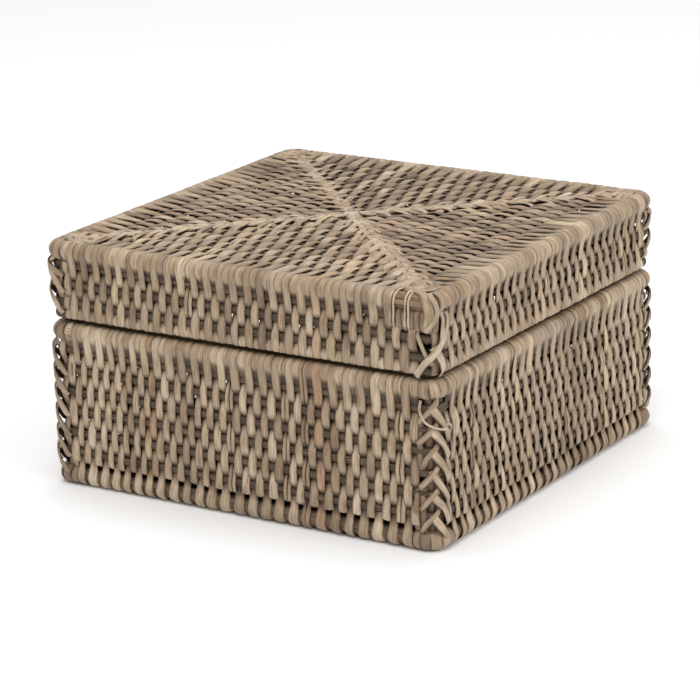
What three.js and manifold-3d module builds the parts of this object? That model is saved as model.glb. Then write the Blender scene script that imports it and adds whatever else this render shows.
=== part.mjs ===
// Woven rattan box with a lift-off lid, in millimetres, +Z up.
// The origin is the middle of the underside. The front wall faces -Y.
// Square rings of rattan core are stacked up the walls and nested across the
// base and the lid top. Split strips run across the rings, over the outside
// and back up the inside, and each corner is lashed with a column of chevrons.

import * as THREE from 'three';
import { mergeVertices } from 'three/addons/utils/BufferGeometryUtils.js';
import Module from 'manifold-3d';

const wasm = await Module();
wasm.setup();

// Overall size and the rattan stock
const boxSide = 200;
const edgeRodThickness = 7;
const rodThickness = 4.4;
const rodBendInside = 0.6;
const stripThickness = 0.8;
const stripWidth = 3.1;
const stripSpacing = 6.66;
const seatGap = 0.3;

// Rings between the lowest and the highest in a wall, and the clear heights
// below them, between them and above them
const boxWallRodCount = 6;
const boxBottomGap = 5;
const boxRodGap = 5;
const boxRimGap = 2.4;
const lidWallRodCount = 3;
const lidEndGap = 0.65;
const lidRodGap = 4.2;

// Half size of the smallest ring in a panel, and the step to the next ring
const panelInnerRing = 9.9;
const panelRodPitch = 9.5;

// Bare stretches where the strips stop short of a corner or a mitre
const cornerBare = 11;
const mitreBare = 3;
const mitreBandWidth = 3.5;

// Lashing at each corner
const lashingBandWidth = 4.4;
const lashingLongDrop = 11.5;
const lashingShortReach = 5.5;
const lashingShortDrop = 8;
const lashingTieWidth = 3;
const lashingSpineSide = 2.5;

// Band inside the mouth of the box that keeps the lid in line
const collarThickness = 2.4;
const collarDepth = 14;
const collarRise = 10;

// How far a cutting shape runs past what it cuts
const overrun = 5;

// Sizes worked out from the ones above
const octagonShare = 1 - Math.SQRT1_2;
const stripLayer = stripThickness + seatGap;
const edgeBendRadius = edgeRodThickness + rodBendInside;
const wallThickness = edgeRodThickness + 2 * stripLayer;
const panelThickness = rodThickness + 2 * stripLayer;
const halfSide = boxSide / 2;
const ringMiddle = halfSide - wallThickness / 2;
const wallRunLength = boxSide - 2 * cornerBare;
const panelEdge = halfSide - wallThickness - seatGap;
const panelOuterRing = panelEdge - panelThickness / 2;
const panelRodCount = Math.floor((panelOuterRing - panelInnerRing) / panelRodPitch) + 1;

// Rattan core is darker than the split strips that cover it
const coreColour = 0x6b573f;
const stripColour = 0xb0a189;
const lashingColour = 0xb7aa92;
const collarColour = 0x9c8a6e;
const coreRoughness = 0.8;
const stripRoughness = 0.65;

const sideNames = ['front', 'right', 'back', 'left'];
const cornerNames = ['front_right', 'back_right', 'back_left', 'front_left'];
const quarterTurn = Math.PI / 2;

const assembly = new THREE.Group();

function addPiece(name, geometry, colour, roughness, turn = 0) {
  const material = new THREE.MeshStandardMaterial({
    color: colour,
    roughness,
    metalness: 0,
    flatShading: true,
  });
  const piece = new THREE.Mesh(geometry, material);
  piece.name = name;
  piece.rotation.z = turn;
  assembly.add(piece);
}

function toSolid(geometry) {
  const bare = geometry.clone();
  bare.deleteAttribute('normal');
  bare.deleteAttribute('uv');
  const merged = mergeVertices(bare);
  const mesh = new wasm.Mesh({
    numProp: 3,
    vertProperties: new Float32Array(merged.attributes.position.array),
    triVerts: new Uint32Array(merged.index.array),
  });
  return new wasm.Manifold(mesh);
}

function toGeometry(solid) {
  const mesh = solid.getMesh();
  const geometry = new THREE.BufferGeometry();
  geometry.setAttribute('position', new THREE.BufferAttribute(mesh.vertProperties, 3));
  geometry.setIndex(new THREE.BufferAttribute(mesh.triVerts, 1));
  geometry.computeVertexNormals();
  return geometry;
}

function straightExtrusion(shapes, depth) {
  return new THREE.ExtrudeGeometry(shapes, { depth, bevelEnabled: false, curveSegments: 2 });
}

// A rectangle whose corners are cut like those of a regular octagon
function octagonEndedOutline(Outline, left, bottom, width, height) {
  const cut = octagonShare * Math.min(width, height);
  const right = left + width;
  const top = bottom + height;
  const outline = new Outline();
  outline.moveTo(left + cut, bottom);
  outline.lineTo(right - cut, bottom);
  outline.lineTo(right, bottom + cut);
  outline.lineTo(right, top - cut);
  outline.lineTo(right - cut, top);
  outline.lineTo(left + cut, top);
  outline.lineTo(left, top - cut);
  outline.lineTo(left, bottom + cut);
  outline.closePath();
  return outline;
}

function rectangle(left, bottom, right, top) {
  const outline = new THREE.Shape();
  outline.moveTo(left, bottom);
  outline.lineTo(right, bottom);
  outline.lineTo(right, top);
  outline.lineTo(left, top);
  outline.closePath();
  return outline;
}

function roundedSquare(Outline, half, radius) {
  const straight = half - radius;
  const outline = new Outline();
  outline.moveTo(-straight, -half);
  outline.lineTo(straight, -half);
  outline.absarc(straight, -straight, radius, -quarterTurn, 0);
  outline.lineTo(half, straight);
  outline.absarc(straight, straight, radius, 0, quarterTurn);
  outline.lineTo(-straight, half);
  outline.absarc(-straight, straight, radius, quarterTurn, 2 * quarterTurn);
  outline.lineTo(-half, -straight);
  outline.absarc(-straight, -straight, radius, 2 * quarterTurn, 3 * quarterTurn);
  return outline;
}

// A rod bent into a square ring, with an octagon for its section and a square
// of this half size for its middle line. Each bend is round outside and so
// tight inside that the model leaves it sharp.
function rodRing(middle, height, thickness) {
  const cut = octagonShare * thickness;
  const bend = thickness + rodBendInside;
  const outside = roundedSquare(THREE.Shape, middle + thickness / 2, bend);
  const inner = middle - thickness / 2;
  const hole = new THREE.Path();
  hole.moveTo(-inner, -inner);
  hole.lineTo(-inner, inner);
  hole.lineTo(inner, inner);
  hole.lineTo(inner, -inner);
  hole.closePath();
  outside.holes.push(hole);
  const geometry = new THREE.ExtrudeGeometry(outside, {
    depth: thickness - 2 * cut,
    bevelThickness: cut,
    bevelSize: cut,
    bevelOffset: -cut,
    bevelSegments: 1,
    curveSegments: 1,
  });
  geometry.translate(0, 0, height - thickness / 2 + cut);
  return geometry;
}

// A short straight rod that fills the hole of the smallest ring of a panel
function centreRod(holeHalf, height) {
  const outline = octagonEndedOutline(
    THREE.Shape,
    -rodThickness / 2,
    -rodThickness / 2,
    rodThickness,
    rodThickness,
  );
  const length = 2 * (holeHalf - seatGap);
  const geometry = straightExtrusion(outline, length);
  geometry.translate(0, 0, -length / 2);
  geometry.applyMatrix4(turnProfileAlongX());
  geometry.translate(0, 0, height);
  return geometry;
}

// Sends a profile's own axes to Y and Z, and its depth to X
function turnProfileAlongX() {
  const alongX = new THREE.Vector3(1, 0, 0);
  const alongY = new THREE.Vector3(0, 1, 0);
  const alongZ = new THREE.Vector3(0, 0, 1);
  return new THREE.Matrix4().makeBasis(alongY, alongZ, alongX);
}

// A solid bar along X, centred on the origin's plane, with this profile
function barAlongX(outline, length) {
  const geometry = straightExtrusion(outline, length);
  geometry.translate(0, 0, -length / 2);
  geometry.applyMatrix4(turnProfileAlongX());
  return toSolid(geometry);
}

// The layer of strips round a flat row of rods: one skin above and one below,
// joined where the strips turn round the outermost rod
function panelSleeve(left, bottom, width, length) {
  const outline = octagonEndedOutline(THREE.Shape, left, bottom, width, panelThickness);
  const hollow = octagonEndedOutline(
    THREE.Path,
    left + stripThickness,
    bottom + stripThickness,
    width - 2 * stripThickness,
    panelThickness - 2 * stripThickness,
  );
  outline.holes.push(hollow);
  return barAlongX(outline, length);
}

// What lies within a margin of a wall's rods: a roll round the lowest rod and
// one round the highest, and a flat slab between them
function wallCore(rods, margin, length) {
  const lowest = rods[0];
  const highest = rods[rods.length - 1];
  const slabHalf = rodThickness / 2 + margin;
  const slab = rectangle(
    -ringMiddle - slabHalf,
    lowest.height,
    -ringMiddle + slabHalf,
    highest.height,
  );
  const rolls = [lowest, highest].map((rod) => {
    const size = rod.thickness + 2 * margin;
    const left = -ringMiddle - size / 2;
    return octagonEndedOutline(THREE.Shape, left, rod.height - size / 2, size, size);
  });
  return wasm.Manifold.union([slab, ...rolls].map((outline) => barAlongX(outline, length)));
}

// Middles of the openings between neighbouring outer strips along a run
function openingPlaces(runLength) {
  const gapWidth = stripSpacing - stripWidth;
  const count = Math.floor((runLength - 2 * stripWidth - gapWidth) / stripSpacing) + 1;
  const first = (-(count - 1) * stripSpacing) / 2;
  return Array.from({ length: count }, (_, index) => first + index * stripSpacing);
}

// Strips of one wall: a skin outside and one inside, joined round the lowest
// and the highest rod. Between those two rods the outer strips stand apart, so
// the other rods show.
function wallStrips(rods) {
  const outer = wallCore(rods, stripLayer, wallRunLength);
  const sleeve = outer.subtract(wallCore(rods, seatGap, wallRunLength + overrun));
  const halfGap = (stripSpacing - stripWidth) / 2;
  const lowest = rods[0];
  const highest = rods[rods.length - 1];
  const slotFoot = lowest.height + lowest.thickness / 2;
  const slotHead = highest.height - highest.thickness / 2;
  const slots = openingPlaces(wallRunLength).map((place) =>
    rectangle(place - halfGap, slotFoot, place + halfGap, slotHead),
  );
  const cutter = straightExtrusion(slots, wallThickness / 2 + overrun);
  cutter.rotateX(quarterTurn);
  cutter.translate(0, wallThickness / 2 - halfSide, 0);
  return toGeometry(sleeve.subtract(toSolid(cutter)));
}

// Strips of one quarter of a flat panel, cut to a mitre along both diagonals.
// An open quarter has slots between its upper strips, which end at a band
// beside each mitre.
function panelStrips(bottom, open) {
  const mitreSetback = mitreBare * Math.SQRT2;
  const sleeve = panelSleeve(-panelEdge, bottom, panelEdge + overrun, 2 * panelEdge);
  const quarter = new THREE.Shape();
  quarter.moveTo(0, -mitreSetback);
  quarter.lineTo(-halfSide, -halfSide - mitreSetback);
  quarter.lineTo(halfSide, -halfSide - mitreSetback);
  quarter.closePath();
  const block = straightExtrusion(quarter, panelThickness + 2 * overrun);
  block.translate(0, 0, bottom - overrun);
  const sector = sleeve.intersect(toSolid(block));
  if (!open) {
    return toGeometry(sector);
  }
  const halfGap = (stripSpacing - stripWidth) / 2;
  const outerEnd = -panelEdge + stripLayer + rodThickness;
  const bandSetback = (mitreBare + mitreBandWidth) * Math.SQRT2;
  const slots = [];
  for (const place of openingPlaces(2 * -outerEnd)) {
    const innerEnd = -(Math.abs(place) + halfGap + bandSetback);
    if (innerEnd - outerEnd > stripWidth) {
      slots.push(rectangle(place - halfGap, outerEnd, place + halfGap, innerEnd));
    }
  }
  const cutter = straightExtrusion(slots, panelThickness / 2 + overrun);
  cutter.translate(0, 0, bottom + panelThickness / 2);
  return toGeometry(sector.subtract(toSolid(cutter)));
}

// Two long strips that cross at the middle and cover the bare mitres
function mitreStrips(bottom) {
  const halfWidth = mitreBare - seatGap;
  const reach = (panelEdge - edgeBendRadius) * Math.SQRT2 + edgeBendRadius;
  const bar = straightExtrusion(rectangle(-reach, -halfWidth, reach, halfWidth), stripThickness);
  bar.translate(0, 0, bottom);
  bar.rotateZ(quarterTurn / 2);
  const crossBar = bar.clone();
  crossBar.rotateZ(quarterTurn);
  return toGeometry(toSolid(bar).add(toSolid(crossBar)));
}

// Clear heights between neighbouring rods that a lashing's tie can pass through
function tieRooms(rods) {
  return rods
    .slice(1)
    .map((rod, index) => ({
      foot: rods[index].height + rods[index].thickness / 2 + seatGap,
      head: rod.height - rod.thickness / 2 - seatGap,
    }))
    .filter((room) => room.head - room.foot > 2 * stripThickness);
}

// One lashing: chevrons laid round the outside of a corner, each tied through
// the gap between two rods to a strand that runs down the inside. A gap too
// narrow for the tie has no chevron.
function cornerLashing(rods) {
  const outerRadius = edgeBendRadius + stripLayer;
  const innerRadius = edgeBendRadius + seatGap;
  const arcCentre = halfSide - outerRadius;
  const legEnd = halfSide - cornerBare + seatGap;
  const innerFace = halfSide - stripThickness;

  const wrap = new THREE.Shape();
  wrap.moveTo(legEnd, -halfSide);
  wrap.lineTo(arcCentre, -halfSide);
  wrap.absarc(arcCentre, -arcCentre, outerRadius, -quarterTurn, 0);
  wrap.lineTo(halfSide, -legEnd);
  wrap.lineTo(innerFace, -legEnd);
  wrap.lineTo(innerFace, -arcCentre);
  wrap.absarc(arcCentre, -arcCentre, innerRadius, 0, -quarterTurn, true);
  wrap.lineTo(legEnd, -innerFace);
  wrap.closePath();
  const lowest = rods[0];
  const highest = rods[rods.length - 1];
  const skinFoot = lowest.height - lowest.thickness / 2;
  const skinHead = highest.height + highest.thickness / 2;
  const skin = straightExtrusion(wrap, skinHead - skinFoot);
  skin.translate(0, 0, skinFoot);

  const longReach = (cornerBare + overrun) / Math.SQRT2;
  const longDrop = (lashingLongDrop / cornerBare) * (cornerBare + overrun);
  const shortReach = lashingShortReach / Math.SQRT2;
  const ties = tieRooms(rods);
  const chevrons = ties.map((tie) => {
    const top = (tie.foot + tie.head) / 2 + lashingBandWidth / 2;
    const chevron = new THREE.Shape();
    chevron.moveTo(0, top);
    chevron.lineTo(-shortReach, top - lashingShortDrop);
    chevron.lineTo(-shortReach, top - lashingShortDrop - lashingBandWidth);
    chevron.lineTo(0, top - lashingBandWidth);
    chevron.lineTo(longReach, top - longDrop - lashingBandWidth);
    chevron.lineTo(longReach, top - longDrop);
    chevron.closePath();
    return chevron;
  });
  const stackDepth = 2 * cornerBare;
  const acrossCorner = new THREE.Vector3(Math.SQRT1_2, Math.SQRT1_2, 0);
  const upward = new THREE.Vector3(0, 0, 1);
  const outward = new THREE.Vector3(Math.SQRT1_2, -Math.SQRT1_2, 0);
  const faceCorner = new THREE.Matrix4().makeBasis(acrossCorner, upward, outward);
  const stack = straightExtrusion(chevrons, stackDepth);
  stack.translate(0, 0, halfSide * Math.SQRT2 - stackDepth);
  stack.applyMatrix4(faceCorner);
  let lashing = toSolid(skin).intersect(toSolid(stack));

  const spineOuter = ringMiddle - edgeRodThickness / 2 - seatGap;
  const spineInner = spineOuter - lashingSpineSide;
  const tieStart = (spineInner + spineOuter) * Math.SQRT1_2;
  const tieEnd = arcCentre * Math.SQRT2 + (innerRadius + outerRadius) / 2;
  for (const tie of ties) {
    const section = rectangle(-lashingTieWidth / 2, tie.foot, lashingTieWidth / 2, tie.head);
    const bar = straightExtrusion(section, tieEnd - tieStart);
    bar.translate(0, 0, tieStart);
    bar.applyMatrix4(faceCorner);
    lashing = lashing.add(toSolid(bar));
  }
  const spineFoot = ties[0].foot;
  const spineHead = ties[ties.length - 1].head;
  const spine = straightExtrusion(
    rectangle(spineInner, -spineOuter, spineOuter, -spineInner),
    spineHead - spineFoot,
  );
  spine.translate(0, 0, spineFoot);
  return toGeometry(lashing.add(toSolid(spine)));
}

// The collar follows the inside of the walls and clears the lashing strands
// with the round of its corners.
function collarRing(rimHeight) {
  const half = halfSide - wallThickness - seatGap;
  const spineInner = ringMiddle - edgeRodThickness / 2 - seatGap - lashingSpineSide;
  const radius = (half - spineInner + seatGap) / octagonShare + collarThickness;
  const outline = roundedSquare(THREE.Shape, half, radius);
  outline.holes.push(roundedSquare(THREE.Path, half - collarThickness, radius - collarThickness));
  const ring = straightExtrusion(outline, collarDepth + collarRise);
  ring.translate(0, 0, rimHeight - collarDepth);
  return ring;
}

// A flat panel of nested rings, counted from the smallest, with a short rod in
// the middle
function addPanelRods(prefix, height) {
  for (let ring = 1; ring <= panelRodCount; ring += 1) {
    const middle = panelInnerRing + (ring - 1) * panelRodPitch;
    const geometry = rodRing(middle, height, rodThickness);
    addPiece(`${prefix}_rod_${ring}`, geometry, coreColour, coreRoughness);
  }
  const centre = centreRod(panelInnerRing - rodThickness / 2, height);
  addPiece(`${prefix}_centre_rod`, centre, coreColour, coreRoughness);
}

function addPanel(prefix, bottom, open) {
  addPanelRods(prefix, bottom + panelThickness / 2);
  const strips = panelStrips(bottom, open);
  sideNames.forEach((side, index) => {
    const name = `${prefix}_${side}_strips`;
    addPiece(name, strips.clone(), stripColour, stripRoughness, index * quarterTurn);
  });
}

// Names, thicknesses and middle heights of a wall's rods, from the lowest up
function wallRods(part, bottom, lowest, gapBelow, count, gapBetween, gapAbove, highest) {
  const rods = [];
  let foot = bottom + stripLayer;
  const stack = (name, thickness, gap) => {
    const height = foot + gap + thickness / 2;
    rods.push({ name, thickness, height });
    foot = height + thickness / 2;
  };
  stack(lowest.name, lowest.thickness, 0);
  for (let index = 1; index <= count; index += 1) {
    stack(`${part}_wall_rod_${index}`, rodThickness, index === 1 ? gapBelow : gapBetween);
  }
  stack(highest.name, highest.thickness, gapAbove);
  return rods;
}

// Height of the strips that wrap the highest rod of a wall
function topOf(rods) {
  const highest = rods[rods.length - 1];
  return highest.height + highest.thickness / 2 + stripLayer;
}

function addWalls(part, rods) {
  for (const rod of rods) {
    const ring = rodRing(ringMiddle, rod.height, rod.thickness);
    addPiece(rod.name, ring, coreColour, coreRoughness);
  }
  const strips = wallStrips(rods);
  sideNames.forEach((side, index) => {
    const name = `${part}_${side}_strips`;
    addPiece(name, strips.clone(), stripColour, stripRoughness, index * quarterTurn);
  });
  const lashing = cornerLashing(rods);
  cornerNames.forEach((corner, index) => {
    const name = `${part}_${corner}_lashing`;
    addPiece(name, lashing.clone(), lashingColour, stripRoughness, index * quarterTurn);
  });
}

const boxRods = wallRods(
  'box',
  0,
  { name: 'box_bottom_rod', thickness: edgeRodThickness },
  boxBottomGap,
  boxWallRodCount,
  boxRodGap,
  boxRimGap,
  { name: 'box_rim_rod', thickness: edgeRodThickness },
);
addWalls('box', boxRods);
addPanel('base', 0, false);
addPiece('base_mitre_strips', mitreStrips(0), lashingColour, stripRoughness);
addPiece('box_lid_collar', collarRing(topOf(boxRods)), collarColour, stripRoughness);

const lidRods = wallRods(
  'lid',
  topOf(boxRods) + seatGap,
  { name: 'lid_rim_rod', thickness: rodThickness },
  lidEndGap,
  lidWallRodCount,
  lidRodGap,
  lidEndGap,
  { name: 'lid_edge_rod', thickness: edgeRodThickness },
);
const lidTop = topOf(lidRods);
addWalls('lid', lidRods);
addPanel('lid_top', lidTop - panelThickness, true);
addPiece(
  'lid_top_mitre_strips',
  mitreStrips(lidTop - stripThickness),
  lashingColour,
  stripRoughness,
);

export default assembly;
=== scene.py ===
import math

import bpy
import numpy as np
from mathutils import Matrix, Vector


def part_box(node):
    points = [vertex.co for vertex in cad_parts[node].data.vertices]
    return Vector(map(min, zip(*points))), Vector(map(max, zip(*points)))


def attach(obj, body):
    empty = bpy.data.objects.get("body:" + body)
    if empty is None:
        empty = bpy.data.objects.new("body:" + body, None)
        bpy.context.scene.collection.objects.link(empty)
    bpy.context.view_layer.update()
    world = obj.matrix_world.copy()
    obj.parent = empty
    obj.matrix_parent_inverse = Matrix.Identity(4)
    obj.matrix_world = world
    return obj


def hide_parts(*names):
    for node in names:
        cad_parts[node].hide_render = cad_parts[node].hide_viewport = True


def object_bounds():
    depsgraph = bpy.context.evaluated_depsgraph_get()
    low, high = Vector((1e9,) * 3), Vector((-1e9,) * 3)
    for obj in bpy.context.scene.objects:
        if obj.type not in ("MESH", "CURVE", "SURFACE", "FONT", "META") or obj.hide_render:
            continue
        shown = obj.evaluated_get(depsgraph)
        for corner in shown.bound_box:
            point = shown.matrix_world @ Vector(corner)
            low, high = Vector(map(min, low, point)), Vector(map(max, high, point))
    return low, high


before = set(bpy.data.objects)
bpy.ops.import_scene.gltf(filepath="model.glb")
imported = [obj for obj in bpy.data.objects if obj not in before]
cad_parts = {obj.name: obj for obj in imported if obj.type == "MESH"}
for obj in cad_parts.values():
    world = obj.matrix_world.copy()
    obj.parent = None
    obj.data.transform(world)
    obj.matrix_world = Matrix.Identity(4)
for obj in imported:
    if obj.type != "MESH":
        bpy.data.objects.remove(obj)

cad_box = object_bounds()


# Core rods
# Each ring is a length of round rattan core, bent to a square and closed with
# a scarf joint. The rings are stacked up the walls and nested in each panel.
# The thin ones are shaved to an oval, flat towards the inside.
MM = 0.001
thin_below = 3 * MM
bend_inside = 0.6 * MM
shaved_deep = 1.0 * MM
shaved_wide = 1.2 * MM
shaved_tall = 1.85 * MM
panel_sunk = 0.5 * MM
# Per rod: half of its ring's side, its height, the ring's bend, and the rod's
# own half sizes outwards and upwards
rods = {}
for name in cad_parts:
    if "_rod" in name and not name.endswith("centre_rod"):
        low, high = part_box(name)
        radius = (high[2] - low[2]) / 2
        half, height = high[0] - radius, (low[2] + high[2]) / 2
        bend, cut = radius + bend_inside, radius - shaved_deep
        if "top_rod" in name:
            rods[name] = (half, height + (cut - panel_sunk), bend, shaved_wide, shaved_deep)
        elif "base_rod" in name:
            rods[name] = (half, height - (cut - panel_sunk), bend, shaved_wide, shaved_deep)
        elif radius < thin_below:
            rods[name] = (half + cut, height, bend + cut, shaved_deep, shaved_tall)
        else:
            rods[name] = (half, height, bend, radius, radius)


def eased(knots, spots):
    """Values read between random knots at equal steps: each is joined to the next by a
    cosine ramp, and the last to the first."""
    low = np.floor(spots).astype(int)
    ease = (1 - np.cos((spots - low) * math.pi)) / 2
    return knots[low % len(knots)] * (1 - ease) + knots[(low + 1) % len(knots)] * ease


ring_knots = 36
ring_seed = 500
wall_stray = (0.22 * MM, 0.50 * MM)
panel_stray = (0.45 * MM, 0.08 * MM)
edge_stray = (0.10 * MM, 0.10 * MM)


def ring_stray(name, turn):
    """How far a bent rod strays outwards and upwards at a place round its ring, which is
    counted in quarter turns."""
    amounts = edge_stray
    if "top_rod" in name or "base_rod" in name:
        amounts = panel_stray
    elif "wall_rod" in name:
        amounts = wall_stray
    draws = np.random.default_rng(ring_seed + list(rods).index(name))
    spots = (turn / 4 * ring_knots) % ring_knots
    return [eased(draws.uniform(-amount, amount, ring_knots), spots) for amount in amounts]


def square_path(half, bend, along):
    """Points on a square with rounded corners, counted from the middle of the front side
    anticlockwise, with the outward direction at each."""
    straight = half - bend
    quarter = 2 * straight + bend * math.pi / 2
    shifted = along + straight
    turn = np.floor(shifted / quarter)
    rest = shifted - turn * quarter
    angle = np.clip((rest - 2 * straight) / bend, 0, math.pi / 2)
    out_x, out_y = np.sin(angle), -np.cos(angle)
    flat = np.minimum(rest, 2 * straight) - straight
    x = flat + bend * out_x
    y = -straight + bend * out_y
    spin = turn * math.pi / 2
    cos, sin = np.cos(spin), np.sin(spin)
    place = np.stack([x * cos - y * sin, x * sin + y * cos], axis=-1)
    outward = np.stack([out_x * cos - out_y * sin, out_x * sin + out_y * cos], axis=-1)
    return place, outward


sharp_above = math.radians(48)


def add_piece(name, points, quads, material, body, nodes, attributes, uv):
    """Puts arrays of points and four-sided faces into a mesh object that rides on a body."""
    mesh = bpy.data.meshes.new(name)
    mesh.vertices.add(len(points))
    mesh.vertices.foreach_set("co", np.ascontiguousarray(points, dtype=np.float32).ravel())
    mesh.loops.add(quads.size)
    mesh.loops.foreach_set("vertex_index", quads.ravel().astype(np.int32))
    mesh.polygons.add(len(quads))
    mesh.polygons.foreach_set("loop_start", np.arange(0, quads.size, 4, dtype=np.int32))
    mesh.update(calc_edges=True)
    for key, values in attributes:
        layer = mesh.attributes.new(key, "FLOAT", "POINT")
        layer.data.foreach_set("value", np.ascontiguousarray(values, dtype=np.float32))
    layer = mesh.uv_layers.new(name="strand")
    layer.data.foreach_set("uv", uv[quads.ravel()].astype(np.float32).ravel())
    mesh.shade_smooth()
    mesh.set_sharp_from_angle(angle=sharp_above)
    mesh.validate()
    mesh.materials.append(material)
    piece = bpy.data.objects.new(name, mesh)
    bpy.context.scene.collection.objects.link(piece)
    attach(piece, body)
    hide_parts(*nodes)


def stretched(tree, place, factors):
    """Coordinates multiplied by factors, either fixed or from another node."""
    product = tree.nodes.new("ShaderNodeVectorMath")
    product.operation = "MULTIPLY"
    tree.links.new(place, product.inputs[0])
    if isinstance(factors, tuple):
        product.inputs[1].default_value = factors
    else:
        tree.links.new(factors, product.inputs[1])
    return product.outputs["Vector"]


def noise_value(tree, place, scale, detail, roughness=0.5):
    """Noise read at these coordinates."""
    noise = tree.nodes.new("ShaderNodeTexNoise")
    for key, value in (("Scale", scale), ("Detail", detail), ("Roughness", roughness)):
        noise.inputs[key].default_value = value
    tree.links.new(place, noise.inputs["Vector"])
    return noise.outputs["Fac"]


fleck_stretch = (110, 420, 1)


def fibre_group():
    """Lengthwise fibres of split or round rattan: noise stretched along the strand, as a
    mask for colour and a height for relief, and coarser noise for flecks."""
    group = bpy.data.node_groups.new("rattan_fibre", "ShaderNodeTree")
    face = group.interface
    for key, value in (("Along", 90), ("Across", 2600)):
        face.new_socket(key, in_out="INPUT", socket_type="NodeSocketFloat").default_value = value
    for key in ("Streak", "Fleck"):
        face.new_socket(key, in_out="OUTPUT", socket_type="NodeSocketFloat")
    start = group.nodes.new("NodeGroupInput")
    end = group.nodes.new("NodeGroupOutput")
    strand = group.nodes.new("ShaderNodeUVMap")
    strand.uv_map = "strand"
    stretch = group.nodes.new("ShaderNodeCombineXYZ")
    group.links.new(start.outputs["Along"], stretch.inputs["X"])
    group.links.new(start.outputs["Across"], stretch.inputs["Y"])
    fine = stretched(group, strand.outputs["UV"], stretch.outputs["Vector"])
    coarse = stretched(group, strand.outputs["UV"], fleck_stretch)
    group.links.new(noise_value(group, fine, 1.0, 3.0, 0.6), end.inputs["Streak"])
    group.links.new(noise_value(group, coarse, 1.0, 2.0), end.inputs["Fleck"])
    return group


def ramped(tree, value, stops):
    """A value turned into a colour by a ramp with these (place, colour) stops."""
    ramp = tree.nodes.new("ShaderNodeValToRGB")
    elements = ramp.color_ramp.elements
    elements[0].position, elements[0].color = stops[0][0], (*stops[0][1], 1)
    elements[1].position, elements[1].color = stops[-1][0], (*stops[-1][1], 1)
    for place, colour in stops[1:-1]:
        elements.new(place).color = (*colour, 1)
    tree.links.new(value, ramp.inputs["Fac"])
    return ramp.outputs["Color"]


def multiplied(tree, under, over, share):
    """One colour multiplied by another, as far as this share."""
    mix = tree.nodes.new("ShaderNodeMix")
    mix.data_type = "RGBA"
    mix.blend_type = "MULTIPLY"
    mix.inputs["Factor"].default_value = share
    tree.links.new(under, mix.inputs["A"])
    tree.links.new(over, mix.inputs["B"])
    return mix.outputs["Result"]


def kept_value(tree, name):
    """The value that the mesh keeps at each of its points under this name."""
    reader = tree.nodes.new("ShaderNodeAttribute")
    reader.attribute_name = name
    return reader.outputs["Fac"]


def add_relief(tree, shader, height, strength, depth):
    """Shades the surface as if this height from 0 to 1 raised it by as much as the depth."""
    bump = tree.nodes.new("ShaderNodeBump")
    bump.inputs["Strength"].default_value = strength
    bump.inputs["Distance"].default_value = depth
    tree.links.new(height, bump.inputs["Height"])
    tree.links.new(bump.outputs["Normal"], shader.inputs["Normal"])


def new_material(name, roughness):
    """A new material with its node tree and its shader."""
    material = bpy.data.materials.new(name)
    material.use_nodes = True
    shader = material.node_tree.nodes["Principled BSDF"]
    shader.inputs["Roughness"].default_value = roughness
    return material, material.node_tree, shader


fibre = fibre_group()


def core_material():
    """Brown round core: lengthwise grain, lighter where the tone is high and darker where it is low, which
    paints shade on thin rods' flanks, matt.
    """
    material, tree, shader = new_material("rattan_core", 0.75)
    grain = tree.nodes.new("ShaderNodeGroup")
    grain.node_tree = fibre
    grain.inputs["Along"].default_value = 45
    grain.inputs["Across"].default_value = 1500
    colour = ramped(tree, grain.outputs["Streak"], [
        (0.30, (0.040, 0.024, 0.013)),
        (0.48, (0.120, 0.078, 0.044)),
        (0.62, (0.200, 0.137, 0.082)),
        (0.78, (0.300, 0.220, 0.140)),
    ])
    shade = ramped(tree, kept_value(tree, "tone"), [
        (0.0, (0.40, 0.36, 0.33)),
        (0.6, (1.0, 0.96, 0.92)),
        (1.0, (1.7, 1.65, 1.6)),
    ])
    tree.links.new(multiplied(tree, colour, shade, 1.0), shader.inputs["Base Color"])
    add_relief(tree, shader, grain.outputs["Streak"], 0.5, 0.2 * MM)
    return material


core = core_material()
core_draws = np.random.default_rng(11)
rod_sides = 14
side_steps = 18
bend_steps = 7
grain_length = 5
thin_tones = (0.18, 0.42)
thick_tone = 0.45
lid_edge_tone = 0.9
centre_tone = 0.5


def tube_faces(rings, sides, closed=False):
    """Faces of a tube: each joins two neighbours in a ring to the same two in the next one."""
    ring = np.arange(rings if closed else rings - 1)[:, None]
    side = np.arange(sides)[None, :]
    here, there = ring * sides, (ring + 1) % rings * sides
    after = (side + 1) % sides
    return np.stack([here + side, there + side, there + after, here + after], axis=-1).reshape(-1, 4)


def tube_places(along, angle, radius):
    """Each point's place along and round a rod, alike on its two flanks."""
    around = np.abs(angle - math.pi) * radius
    return np.stack(np.broadcast_arrays(along[:, None], around[None, :]), axis=-1).reshape(-1, 2)


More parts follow.
